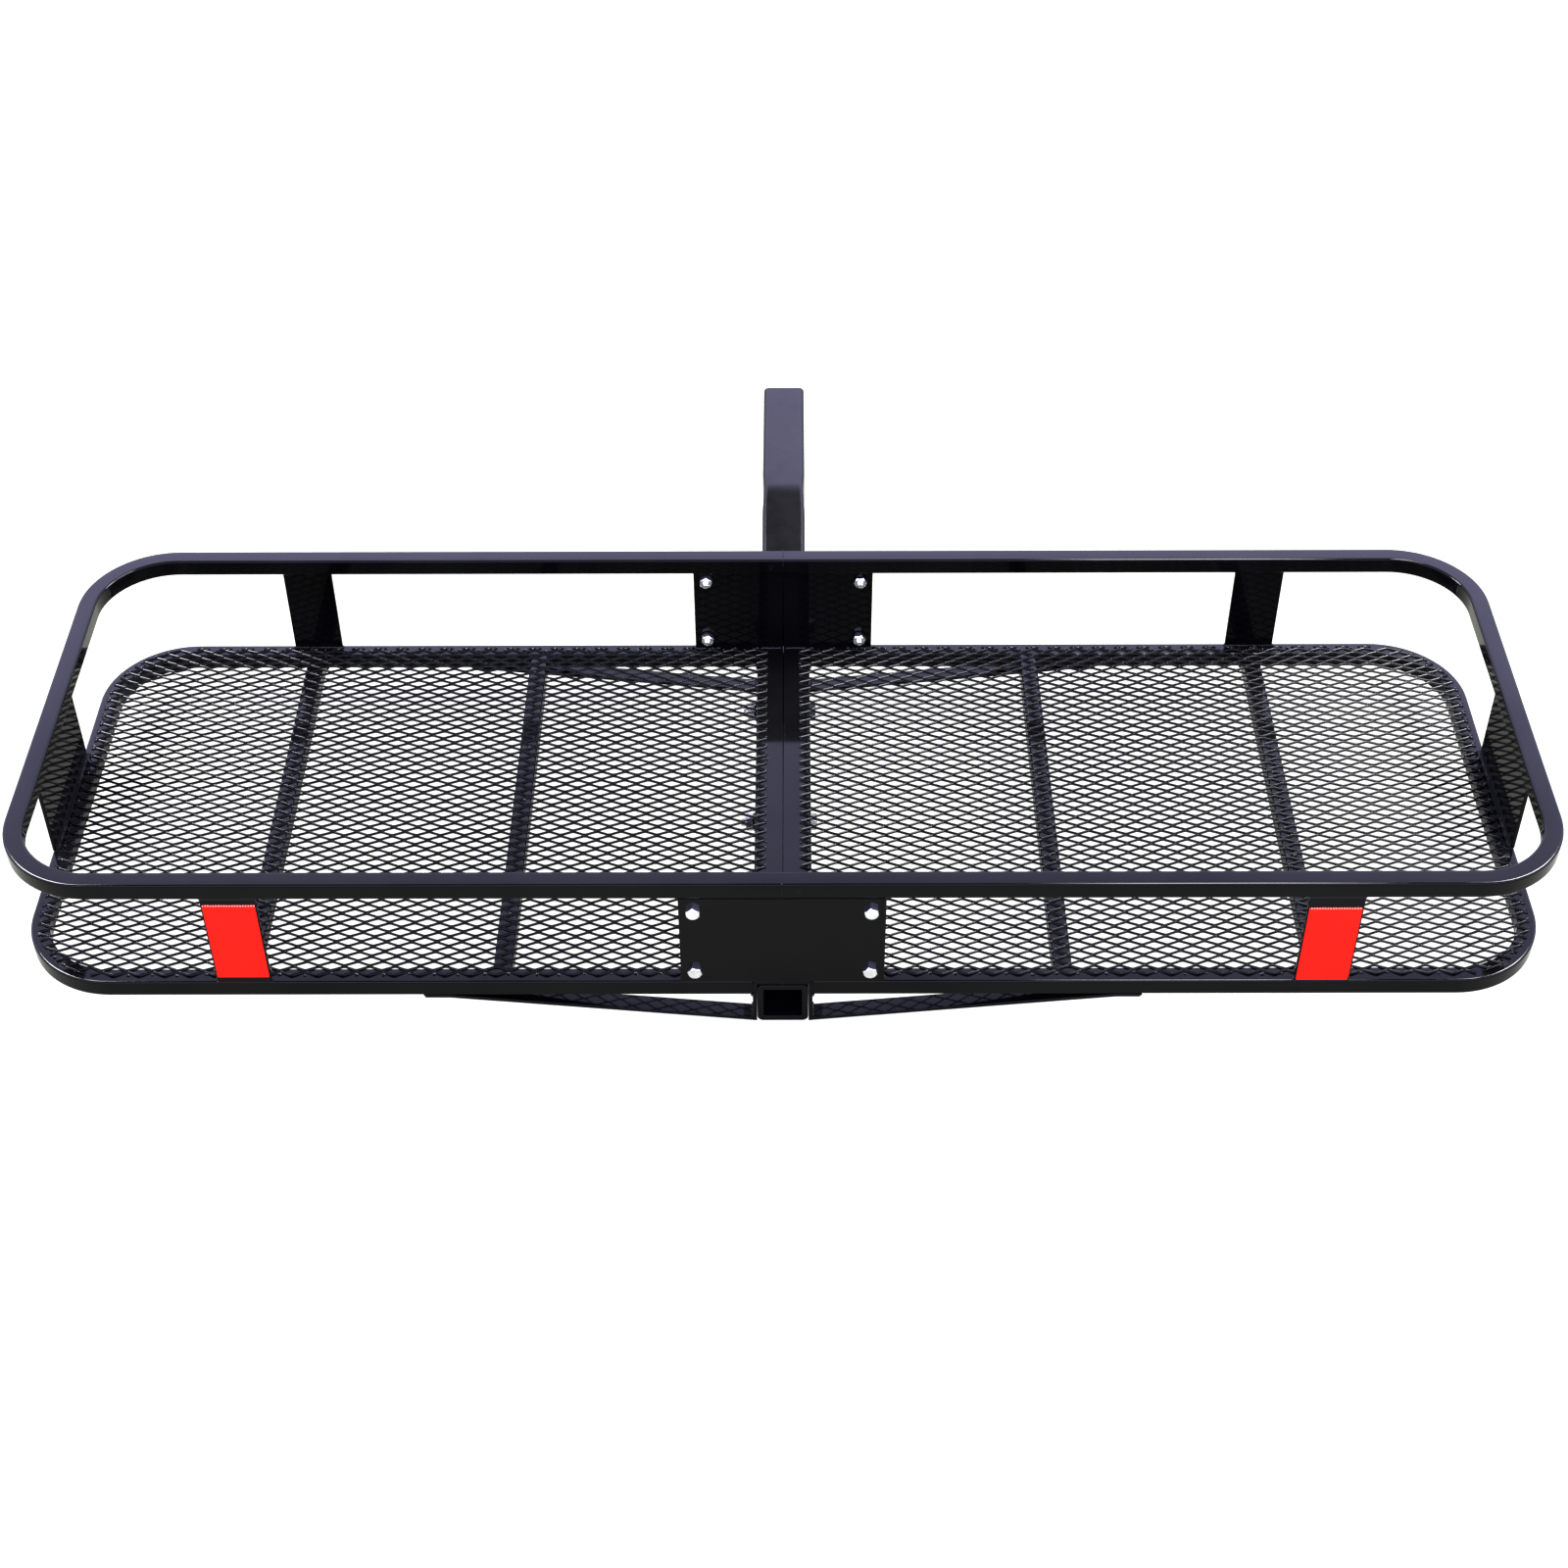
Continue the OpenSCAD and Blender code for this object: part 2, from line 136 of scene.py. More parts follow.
NUT_TURNS = (8, 25, 3, 18, 22, 10, 29, 4)
NO_TURNS = (0,) * 8

# ---------------------------------------------------------------- tape, welds and vent plugs
TAPE_CORNER, TAPE_EDGE = 1.2 * MM, 0.15 * MM
PRICK_SPACING, PRICK_LENGTH, PRICK_DEPTH = 2.6 * MM, 1.4 * MM, 1.6 * MM
WELD_RADIUS, ARM_WELD_RADIUS, SEAM_WELD_RADIUS = 1.9 * MM, 1.5 * MM, 0.8 * MM
SEAM_WELD_INSET = 0.9 * MM
BEAD_SPACING, BEAD_WANDER = 0.75, 0.12
BEAD_SQUASH, SPOT_SQUASH = (1, 1, 0.9), (1.1, 1.1, 0.8)
PLATE_STITCH, TAB_STITCH = 0.3, 0.28
ARM_FOOT_SHARE = 0.13
SPOT_RISE, SPOT_INSET = 0.6 * MM, 3 * MM
END_SPOT_PITCH, SADDLE_SPOT_PITCH, BAR_SPOT_PITCH = BEND_Y / 7.5, BEND_Y / 5.2, HALF_WIDTH / 6.2
PLUG_RADIUS, PLUG_RISE = 2.8 * MM, 9 * MM
PLUG_STEPS = ((0.3 * MM, 0.92), (0, 0.85), (-0.25 * MM, 0.93))
PLUG_SPOTS = ((16 * MM, MIDDLE_Y - HALF_WIDTH), (-13 * MM, MIDDLE_Y + HALF_WIDTH - RAIL_SIDE))

# ---------------------------------------------------------------- camera, floor and light
CAMERA_LENS, CAMERA_SENSOR, CAMERA_REACH = 56.69, 36, 50
CAMERA_STAND = Vector((0.0105, -1.9328, 1.8044))
DEGREES_DOWN, DEGREES_ASIDE, DEGREES_ROLLED = 42.349, 0.279, -0.3
FLOOR_REACH = 15
# The floor's glow as reflections see it, and the depth and soft edge of the painted shadow of the
# basket in that glow.
OPEN_GLOW, SHADE_DEPTH, SHADE_EDGE = 0.78, 0.18, 120 * MM
SKY_COLOUR, SKY_STRENGTH = (0.64, 0.63, 1.0, 1), 9.0
SKY_BANDS = (
    (0.0, 0.1), (0.3, 0.5), (0.45, 0.95), (0.6, 0.93),
    (0.66, 0.66), (0.72, 0.46), (0.82, 0.12), (0.92, 0.03),
)
SOFTBOXES = (
    ("overhead_softbox", (0.8, 0.1, 2.4), (1.4, 0.5), 170),
    ("left_softbox", (-1.6, 0.7, 1.8), (0.8, 0.6), 240),
    ("right_softbox", (1.6, 0.7, 1.8), (0.8, 0.6), 220),
)
DISPLAY_GAMMA = 0.9

# ---------------------------------------------------------------- limits of the modelling
CREASE_ANGLE = math.radians(35)
SHARP_ANGLE = math.radians(50)
RIM_ANGLE = math.radians(60)
COPLANAR_ANGLE = math.radians(1)
MERGE_REACH = 0.01 * MM
TINY = 0.002 * MM
CUT_REACH = 0.0001 * MM
SEED = 11

random.seed(SEED)


# ---------------------------------------------------------------- materials
def new_material(name):
    material = bpy.data.materials.new(name)
    material.use_nodes = True
    tree = material.node_tree
    return material, tree.nodes, tree.links, tree.nodes["Principled BSDF"]


def noise(nodes, links, scale, detail):
    """A noise texture on the object's own coordinates, with that many cycles a metre."""
    place = nodes.new("ShaderNodeTexCoord")
    texture = nodes.new("ShaderNodeTexNoise")
    texture.inputs["Scale"].default_value = scale
    texture.inputs["Detail"].default_value = detail
    links.new(place.outputs["Object"], texture.inputs["Vector"])
    return texture.outputs["Fac"]


def spread(nodes, links, value, low, high):
    """Stretches the middle of a noise to the range from low to high."""
    ranged = nodes.new("ShaderNodeMapRange")
    ranged.inputs["From Min"].default_value = 0.3
    ranged.inputs["From Max"].default_value = 0.7
    ranged.inputs["To Min"].default_value = low
    ranged.inputs["To Max"].default_value = high
    links.new(value, ranged.inputs["Value"])
    return ranged.outputs["Result"]


def two_tones(nodes, links, value, first, second, start=0.35, end=0.65):
    """Goes from the first colour to the second as the value goes from start to end."""
    ramp = nodes.new("ShaderNodeValToRGB")
    for element, position, tone in zip(ramp.color_ramp.elements, (start, end), (first, second)):
        element.position = position
        element.color = (*tone, 1)
    links.new(value, ramp.inputs["Fac"])
    return ramp.outputs["Color"]


def bump(nodes, links, shader, height, depth):
    """Dents the surface by a height texture, to that depth in metres."""
    dent = nodes.new("ShaderNodeBump")
    dent.inputs["Strength"].default_value = 1.0
    dent.inputs["Distance"].default_value = depth
    links.new(height, dent.inputs["Height"])
    links.new(dent.outputs["Normal"], shader.inputs["Normal"])


def maths(nodes, links, operation, value, number):
    """Works on a value and a fixed number."""
    step = nodes.new("ShaderNodeMath")
    step.operation = operation
    step.inputs[1].default_value = number
    links.new(value, step.inputs[0])
    return step.outputs["Value"]


def combine(nodes, links, operation, first, second):
    """Works on two values."""
    step = nodes.new("ShaderNodeMath")
    step.operation = operation
    links.new(first, step.inputs[0])
    links.new(second, step.inputs[1])
    return step.outputs["Value"]


def powder_coat(name, dark, light, smooth, rough, peel_depth, gloss):
    """Black powder coat: an orange-peel surface whose gloss and depth of black drift a little."""
    material, nodes, links, shader = new_material(name)
    shader.inputs["IOR"].default_value = 1.5
    shader.inputs["Specular IOR Level"].default_value = gloss
    drift = noise(nodes, links, scale=9, detail=3)
    links.new(two_tones(nodes, links, drift, dark, light), shader.inputs["Base Color"])
    streaks = noise(nodes, links, scale=60, detail=4)
    links.new(spread(nodes, links, streaks, smooth, rough), shader.inputs["Roughness"])
    bump(nodes, links, shader, noise(nodes, links, scale=420, detail=2), peel_depth)
    return material


def zinc_plate():
    """Bright zinc: a pale metal with a faint blue and straw cast and fine tumbling marks."""
    material, nodes, links, shader = new_material("zinc_plate")
    shader.inputs["Metallic"].default_value = 1.0
    cast = noise(nodes, links, scale=130, detail=3)
    tones = two_tones(nodes, links, cast, first=(0.66, 0.69, 0.75), second=(0.86, 0.86, 0.85))
    links.new(tones, shader.inputs["Base Color"])
    scuffs = noise(nodes, links, scale=900, detail=4)
    links.new(spread(nodes, links, scuffs, low=0.12, high=0.26), shader.inputs["Roughness"])
    bump(nodes, links, shader, noise(nodes, links, scale=1600, detail=3), 0.03 * MM)
    return material


def reflective_tape(name, top_z):
    """Red retro-reflective sheeting: a fine honeycomb of sealed cells, pricked along its top."""
    material, nodes, links, shader = new_material(name)
    place = nodes.new("ShaderNodeTexCoord")
    cells = nodes.new("ShaderNodeTexVoronoi")
    cells.feature = "DISTANCE_TO_EDGE"
    cells.inputs["Scale"].default_value = 330
    cells.inputs["Randomness"].default_value = 0.15
    links.new(place.outputs["Object"], cells.inputs["Vector"])
    wall_red, cell_red = (0.9, 0.012, 0.004), (0.96, 0.006, 0.002)
    reds = two_tones(nodes, links, cells.outputs["Distance"], wall_red, cell_red, 0.02, 0.12)
    axes = nodes.new("ShaderNodeSeparateXYZ")
    links.new(place.outputs["Object"], axes.inputs["Vector"])
    along = maths(nodes, links, "FLOORED_MODULO", axes.outputs["X"], PRICK_SPACING)
    prick = maths(nodes, links, "LESS_THAN", along, PRICK_LENGTH)
    edge = maths(nodes, links, "GREATER_THAN", axes.outputs["Z"], top_z - PRICK_DEPTH)
    paler = nodes.new("ShaderNodeMix")
    paler.data_type = "RGBA"
    links.new(combine(nodes, links, "MULTIPLY", prick, edge), paler.inputs["Factor"])
    links.new(reds, paler.inputs["A"])
    paler.inputs["B"].default_value = (1.0, 0.3, 0.22, 1)
    links.new(paler.outputs["Result"], shader.inputs["Base Color"])
    cloud = noise(nodes, links, scale=40, detail=2)
    links.new(spread(nodes, links, cloud, low=0.3, high=0.42), shader.inputs["Roughness"])
    shader.inputs["Specular IOR Level"].default_value = 0.1
    bump(nodes, links, shader, cells.outputs["Distance"], 0.02 * MM)
    return material


FRAME_PAINT = powder_coat(
    "frame_powder_coat", dark=(0.0007, 0.0007, 0.0008), light=(0.0016, 0.0016, 0.0018),
    smooth=0.045, rough=0.085, peel_depth=0.006 * MM, gloss=0.115,
)
SHANK_PAINT = powder_coat(
    "shank_powder_coat", dark=(0.0009, 0.0009, 0.001), light=(0.002, 0.002, 0.0022),
    smooth=0.25, rough=0.31, peel_depth=0.012 * MM, gloss=0.12,
)
MESH_PAINT = powder_coat(
    "mesh_powder_coat", dark=(0.0005, 0.0005, 0.0006), light=(0.0012, 0.0012, 0.0014),
    smooth=0.17, rough=0.23, peel_depth=0.015 * MM, gloss=0.1,
)
WELD_PAINT = powder_coat(
    "weld_powder_coat", dark=(0.0005, 0.0005, 0.0006), light=(0.0013, 0.0013, 0.0015),
    smooth=0.06, rough=0.13, peel_depth=0.04 * MM, gloss=0.14,
)
ZINC = zinc_plate()


# ---------------------------------------------------------------- making and keeping pieces
def keep(name, bm, material, replaced, sharp_edges=True):
    """Turns a bmesh into a finished piece that rides on the carrier and stands for CAD nodes."""
    mesh = as_mesh(bm, name)
    custom = mesh.attributes.get("custom_normal")
    if custom:
        mesh.attributes.remove(custom)
    mesh.materials.clear()
    mesh.materials.append(material)
    piece = bpy.data.objects.new(name, mesh)
    bpy.context.scene.collection.objects.link(piece)
    mesh.shade_smooth()
    if sharp_edges:
        mesh.set_sharp_from_angle(angle=CREASE_ANGLE)
        weighted = piece.modifiers.new("even_shading", "WEIGHTED_NORMAL")
        weighted.keep_sharp = True
    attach(piece, "root")
    if replaced:
        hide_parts(*replaced)


def as_mesh(bm, name):
    """Uses up a bmesh and gives its mesh."""
    mesh = bpy.data.meshes.new(name)
    bm.to_mesh(mesh)
    bm.free()
    return mesh


def copies(prototype, places):
    """A bmesh that holds the prototype once at each of the places, which are matrices."""
    mesh = as_mesh(prototype, "prototype")
    bm = bmesh.new()
    for place in places:
        add_copy(bm, mesh, place)
    return bm


def add_copy(bm, mesh, place):
    """Adds a copy of a mesh, moved and scaled by a matrix."""
    moved = mesh.copy()
    moved.transform(place)
    bm.from_mesh(moved)
    bpy.data.meshes.remove(moved)


def faces_of(geometry):
    return [g for g in geometry if isinstance(g, bmesh.types.BMFace)]


def edges_of(geometry):
    return [g for g in geometry if isinstance(g, bmesh.types.BMEdge)]


def turned(degrees, axis):
    return Matrix.Rotation(math.radians(degrees), 4, axis)


def rounded_rectangle(bm, width, height, radius, segments):
    """A face in the XY plane, centred on the origin, with its corners rounded or cut off."""
    made = bmesh.ops.create_grid(bm, x_segments=1, y_segments=1, size=0.5)
    bmesh.ops.scale(bm, vec=(width, height, 1), verts=made["verts"])
    corners = bmesh.ops.bevel(
        bm, geom=made["verts"], offset=radius, offset_type="OFFSET", segments=segments,
        profile=0.5, affect="VERTICES", material=-1
    )
    return corners["verts"][0].link_faces[0]


def add_disc(bm, radius, segments):
    """A round face in the XY plane, centred on the origin."""
    made = bmesh.ops.create_circle(bm, cap_ends=True, segments=segments, radius=radius)
    return made["verts"][0].link_faces[0]


def add_rod(bm, radius, length, segments, place):
    """A plain bar with that many sides along Z, centred on the origin and then put in place."""
    bmesh.ops.create_cone(
        bm, cap_ends=True, segments=segments, radius1=radius, radius2=radius, depth=length,
        matrix=place
    )


def push(bm, face, shift, stretches=1):
    """Extrudes the end face of a bar by shift, in equal stretches, and gives the new end face."""
    for _ in range(stretches):
        grown = bmesh.ops.extrude_face_region(bm, geom=[face, *face.edges])["geom"]
        face = faces_of(grown)[0]
        bmesh.ops.translate(bm, verts=face.verts, vec=Vector(shift) / stretches)
    return face


def bend(bm, face, centre, axis, angle, steps):
    """Turns the end face of a bar about an axis, and gives the new end face."""
    swept = bmesh.ops.spin(
        bm, geom=[face, *face.edges, *face.verts], cent=centre, axis=axis,
        angle=angle, steps=steps, use_merge=False
    )
    return faces_of(swept["geom_last"])[0]


def resize(bm, face, share):
    """Scales a face in the XY plane about the Z axis."""
    bmesh.ops.scale(bm, vec=(share, share, 1), verts=face.verts)


def outwards(bm):
    bmesh.ops.recalc_face_normals(bm, faces=bm.faces)


def mirrored_in_x(bm):
    bmesh.ops.scale(bm, vec=(-1, 1, 1), verts=bm.verts)
    bmesh.ops.reverse_faces(bm, faces=bm.faces)


def round_off(bm, edges, radius, segments, clamped=False):
    """Rounds edges off. If clamped, neighbouring rounds stop where they would overlap."""
    bmesh.ops.bevel(
        bm, geom=edges, offset=radius, offset_type="OFFSET", segments=segments,
        profile=0.5, affect="EDGES", material=-1, clamp_overlap=clamped
    )


def softened(node, radius):
    """A merged copy of a CAD node with its sharp edges rounded off."""
    bm = bmesh.new()
    bm.from_mesh(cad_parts[node].data)
    bmesh.ops.remove_doubles(bm, verts=bm.verts, dist=MERGE_REACH)
    bmesh.ops.dissolve_limit(bm, angle_limit=COPLANAR_ANGLE, verts=bm.verts, edges=bm.edges)
    sharp = [e for e in bm.edges if e.is_manifold and e.calc_face_angle() > SHARP_ANGLE]
    round_off(bm, sharp, radius, segments=3, clamped=True)
    return bm


def carved(bm, cutter, operation):
    """The solid in bm after a boolean with the one in cutter. Both are used up."""
    objects = []
    for part in (bm, cutter):
        held = bpy.data.objects.new("carving", as_mesh(part, "carving"))
        bpy.context.scene.collection.objects.link(held)
        objects.append(held)
    body, tool = objects
    change = body.modifiers.new("carve", "BOOLEAN")
    change.operation = operation
    change.object = tool
    change.solver = "EXACT"
    evaluated = body.evaluated_get(bpy.context.evaluated_depsgraph_get())
    result = bmesh.new()
    result.from_mesh(evaluated.to_mesh())
    evaluated.to_mesh_clear()
    bmesh.ops.remove_doubles(result, verts=result.verts, dist=TINY)
    bmesh.ops.dissolve_degenerate(result, edges=result.edges, dist=TINY)
    for mesh in [held.data for held in objects]:
        bpy.data.meshes.remove(mesh)
    return result


# ---------------------------------------------------------------- rails and cross bars
def half_rail(start_x, under_z):
    """The right half of a rail: a square tube bent into a C that opens towards the seam."""
    bm = bmesh.new()
    start = (start_x, MIDDLE_Y - HALF_WIDTH + RAIL_SIDE / 2, under_z + RAIL_SIDE / 2)
    face = rounded_rectangle(bm, RAIL_SIDE, RAIL_SIDE, RAIL_EDGE, RAIL_EDGE_STEPS)
    bmesh.ops.transform(bm, matrix=Matrix.Translation(start) @ turned(90, "Y"), verts=bm.verts)
    run = BEND_X - start_x
    quarter, upright = math.radians(90), (0, 0, 1)
    face = push(bm, face, (run, 0, 0))
    face = bend(bm, face, (BEND_X, MIDDLE_Y - BEND_Y, 0), upright, quarter, CORNER_STEPS)
    face = push(bm, face, (0, 2 * BEND_Y, 0))
    face = bend(bm, face, (BEND_X, MIDDLE_Y + BEND_Y, 0), upright, quarter, CORNER_STEPS)
    push(bm, face, (-run, 0, 0))
    outwards(bm)
    sawn = [e for f in bm.faces if len(f.verts) > 4 for e in f.edges]
    round_off(bm, sawn, SAWN_EDGE, segments=2)
    return bm


def make_rails():
    for level, start_x, under_z in (
        ("floor", SADDLE_FACE_X, UNDERSIDE_Z),
        ("top", SEAM_GAP / 2, TOP_RAIL_UNDER_Z),
    ):
        for side in (LEFT, RIGHT):
            bm = half_rail(start_x, under_z)
            if side == LEFT:
                mirrored_in_x(bm)
            node = f"{SIDE_NAMES[side]}_{level}_rail"
            keep(f"{node}_tube", bm, FRAME_PAINT, [node])


def make_crossbars():
    for node in CROSSBARS:
        low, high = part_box(node)
        bm = bmesh.new()
        face = rounded_rectangle(bm, RAIL_SIDE, RAIL_SIDE, RAIL_EDGE, RAIL_EDGE_STEPS)
        start = Matrix.Translation(((low.x + high.x) / 2, low.y, (low.z + high.z) / 2))
        bmesh.ops.transform(bm, matrix=start @ turned(-90, "X"), verts=bm.verts)
        push(bm, face, (0, high.y - low.y, 0))
        outwards(bm)
        keep(f"{node}_tube", bm, FRAME_PAINT, [node])


# ---------------------------------------------------------------- flat steel
def make_flat_steel():
    """Posts, plates, tabs, arms and saddle angles, each with its sawn edges broken."""
    corners = [f"{end}_{side}" for end in ("tail", "car") for side in ("left", "right")]
    edge_radii = {
        BAR_EDGE: [f"{c}_post" for c in corners] + [f"{c}_arm" for c in corners],
        PLATE_EDGE: ["left_end_plate", "right_end_plate", "left_saddle_angle", "right_saddle_angle"],
        SHEET_EDGE: ["tail_splice_plate", "car_splice_plate"] + [f"{c}_tab" for c in corners],
    }
    for radius, nodes in edge_radii.items():
        for node in nodes:
            keep(f"{node}_steel", softened(node, radius), FRAME_PAINT, [node])


# ---------------------------------------------------------------- expanded-metal floor
def zigzag_ribbon(start_x, length):
    """One strand of expanded metal along +X. It runs flat through each bond, and slants between
    the rear half of one row of bonds and the front half of the next."""
    bm = bmesh.new()
    face = rounded_rectangle(bm, STRAND_WIDTH, STRAND_THICKNESS, STRAND_CHAMFER, 1)
    to_bond_y = STRAND_WIDTH * BOND_SHARE * math.cos(STRAND_TILT)
    to_bond_z = STRAND_WIDTH * BOND_SHARE * math.sin(STRAND_TILT)
    place = Matrix.Translation((start_x, to_bond_y, to_bond_z))
    tilt = Matrix.Rotation(STRAND_TILT, 4, "X")
    bmesh.ops.transform(bm, matrix=place @ tilt @ turned(90, "Z") @ turned(90, "X"), verts=face.verts)
    flat = Vector((BOND_LENGTH, 0, 0))
    slant_x = LONG_PITCH / 2 - BOND_LENGTH
    up = Vector((slant_x, SHORT_PITCH / 2 - 2 * to_bond_y, -2 * to_bond_z))
    down = Vector((slant_x, -up.y, -up.z))
    for _ in range(math.ceil(length / LONG_PITCH)):
        for shift in (flat, up, flat, down):
            face = push(bm, face, shift)
    outwards(bm)
    return bm


def trim(bm, faces, point, normal):
    """Cuts away what of those faces lies past a plane, and closes the cut strands."""
    rims = dict.fromkeys(g for f in faces for g in (*f.verts, *f.edges))
    cut = bmesh.ops.bisect_plane(
        bm, geom=[*faces, *rims], dist=CUT_REACH, plane_co=point, plane_no=normal, clear_outer=True
    )
    open_edges = [e for e in edges_of(cut["geom_cut"]) if e.is_valid and e.is_boundary]
    bmesh.ops.holes_fill(bm, edges=open_edges, sides=0)


def mesh_panel():
    """The right panel: rows of strands, trimmed to the panel's outline with its round corners."""
    length = PANEL_HIGH.x - PANEL_LOW.x
    ribbon = zigzag_ribbon(PANEL_LOW.x - LONG_PITCH, length + 2 * LONG_PITCH)
    rows = math.ceil((PANEL_HIGH.y - PANEL_LOW.y) / (SHORT_PITCH / 2)) + 1
    start_y = PANEL_LOW.y - SHORT_PITCH / 2
    mesh_z = RAIL_TOP_Z - MESH_SINK + MESH_LIFT_SHARE * STRAND_WIDTH * math.sin(STRAND_TILT)
    places = [
        Matrix.Translation((LONG_PITCH / 2 * (row % 2), start_y + row * SHORT_PITCH / 2, mesh_z))
        for row in range(rows)
    ]
    bm = copies(ribbon, places)
    for point, normal in (
        (PANEL_LOW, (-1, 0, 0)), (PANEL_HIGH, (1, 0, 0)),
        (PANEL_LOW, (0, -1, 0)), (PANEL_HIGH, (0, 1, 0)),
    ):
        trim(bm, list(bm.faces), point, normal)
    radius = CORNER_RADIUS - (HALF_LENGTH - PANEL_HIGH.x)
    for y_side in (TAIL, CAR):
        centre = Vector((BEND_X, MIDDLE_Y + y_side * BEND_Y, 0))
        for degrees in range(CORNER_CUT_DEGREES // 2, 90, CORNER_CUT_DEGREES):
            angle = math.radians(degrees)
            normal = Vector((math.cos(angle), y_side * math.sin(angle), 0))
            nearest = radius - LONG_PITCH
            far = {v for v in bm.verts if (v.co - centre).xy.dot(normal.xy) > nearest}
            near = [f for f in bm.faces if any(v in far for v in f.verts)]
            trim(bm, near, centre + radius * normal, normal)
    return bm


def make_mesh_panels():
    right = mesh_panel()
    left = right.copy()
    mirrored_in_x(left)
    for side, bm in (("left", left), ("right", right)):
        node = f"{side}_mesh_panel"
        keep(f"{side}_expanded_metal", bm, MESH_PAINT, [node], sharp_edges=False)


# ---------------------------------------------------------------- shank
def shank_bar(side, edge, past_end):
    """A solid bar swept along the shank's level, sloping and level stretches."""
    bm = bmesh.new()
    rise = SHANK_FAR_Z - SHANK_NEAR_Z
    slope = math.atan2(rise, SHANK_SLOPE_RUN)
    tangent = SHANK_BEND_RADIUS * math.tan(slope / 2)
    second_bend_y = SHANK_FIRST_BEND_Y + SHANK_SLOPE_RUN
    near_run = SHANK_FIRST_BEND_Y - tangent - SHANK_LOW.y + past_end
    slope_length = math.hypot(SHANK_SLOPE_RUN, rise) - 2 * tangent
    far_run = SHANK_HIGH.y - second_bend_y - tangent + past_end
    first_centre = (0, SHANK_FIRST_BEND_Y - tangent, SHANK_NEAR_Z + SHANK_BEND_RADIUS)
    second_centre = (0, second_bend_y + tangent, SHANK_FAR_Z - SHANK_BEND_RADIUS)
    across, level = (1, 0, 0), Vector((0, 1, 0))
    sloping = Vector((0, math.cos(slope), math.sin(slope)))
    face = rounded_rectangle(bm, side, side, edge, SHANK_EDGE_STEPS)
    start = Matrix.Translation((0, SHANK_LOW.y - past_end, SHANK_NEAR_Z))
    bmesh.ops.transform(bm, matrix=start @ turned(-90, "X"), verts=face.verts)
    face = push(bm, face, level * (near_run - PINCH_REACH))
    face = push(bm, face, level * PINCH_REACH, PINCH_STEPS)
    face = bend(bm, face, first_centre, across, slope, SHANK_BEND_STEPS)
    face = push(bm, face, sloping * PINCH_REACH, PINCH_STEPS)
    face = push(bm, face, sloping * (slope_length - 2 * PINCH_REACH))
    face = push(bm, face, sloping * PINCH_REACH, PINCH_STEPS)
    face = bend(bm, face, second_centre, across, -slope, SHANK_BEND_STEPS)
    face = push(bm, face, level * PINCH_REACH, PINCH_STEPS)
    push(bm, face, level * (far_run - PINCH_REACH))
    for bend_y in (SHANK_FIRST_BEND_Y, second_bend_y):
        pinch(bm, bend_y)
    outwards(bm)
    return bm


def pinch(bm, bend_y):
    """Draws the tube's sides in a little at a bend, as a press does."""
    for vert in bm.verts:
        away = abs(vert.co.y - bend_y) / (PINCH_SPREAD * PINCH_REACH)
        if away < 1:
            vert.co.x *= 1 - PINCH_DEPTH * (1 + math.cos(math.pi * away)) / 2


def is_rim(edge):
    """Whether an edge runs round one of the shank's square-cut ends."""
    at_end = any(abs(f.normal.y) > 0.999 for f in edge.link_faces)
    return at_end and edge.calc_face_angle(0) > RIM_ANGLE


def make_shank():
    bm = shank_bar(SHANK_SIDE, SHANK_EDGE, 0)
    bore = shank_bar(SHANK_SIDE - 2 * SHANK_WALL, SHANK_BORE_EDGE, BORE_OVERRUN)
    bm = carved(bm, bore, "DIFFERENCE")
    rims = [e for e in bm.edges if is_rim(e)]
    round_off(bm, rims, SHANK_RIM_EDGE, segments=3, clamped=True)
    drill = bmesh.new()
    add_rod(drill, PIN_HOLE_RADIUS, 2 * SHANK_SIDE, ROUND_STEPS, turned(90, "Y"))
    bm = carved(bm, drill, "DIFFERENCE")
    keep("hitch_shank_tube", bm, SHANK_PAINT, ["hitch_shank"])


# ---------------------------------------------------------------- fasteners
def corner_reach(flats):
    """How far a hexagon's corners are from its middle, from its width across flats."""
    return flats / 2 / math.cos(math.radians(30))


def turned_blank(radius, height, both_ends):
    """A round bar along +Z, chamfered at the top, and at the bottom too if both_ends is true."""
    bm = bmesh.new()
    chamfer = CHAMFER_RATIO * radius
    face = add_disc(bm, radius, ROUND_STEPS)
    if both_ends:
        resize(bm, face, CHAMFERED_SHARE)
        face = push(bm, face, (0, 0, chamfer))
        resize(bm, face, 1 / CHAMFERED_SHARE)
        height -= chamfer
    face = push(bm, face, (0, 0, height - chamfer))
    face = push(bm, face, (0, 0, chamfer))
    resize(bm, face, CHAMFERED_SHARE)
    outwards(bm)
    return bm


def hexagon(flats, height, both_ends):
    """A hexagon along +Z from z = 0, with its corners turned off."""
    corner = corner_reach(flats)
    bm = bmesh.new()
    add_rod(bm, corner, height, 6, Matrix.Translation((0, 0, height / 2)) @ turned(30, "Z"))
    return carved(bm, turned_blank(corner * BLANK_ROOM, height, both_ends), "INTERSECT")


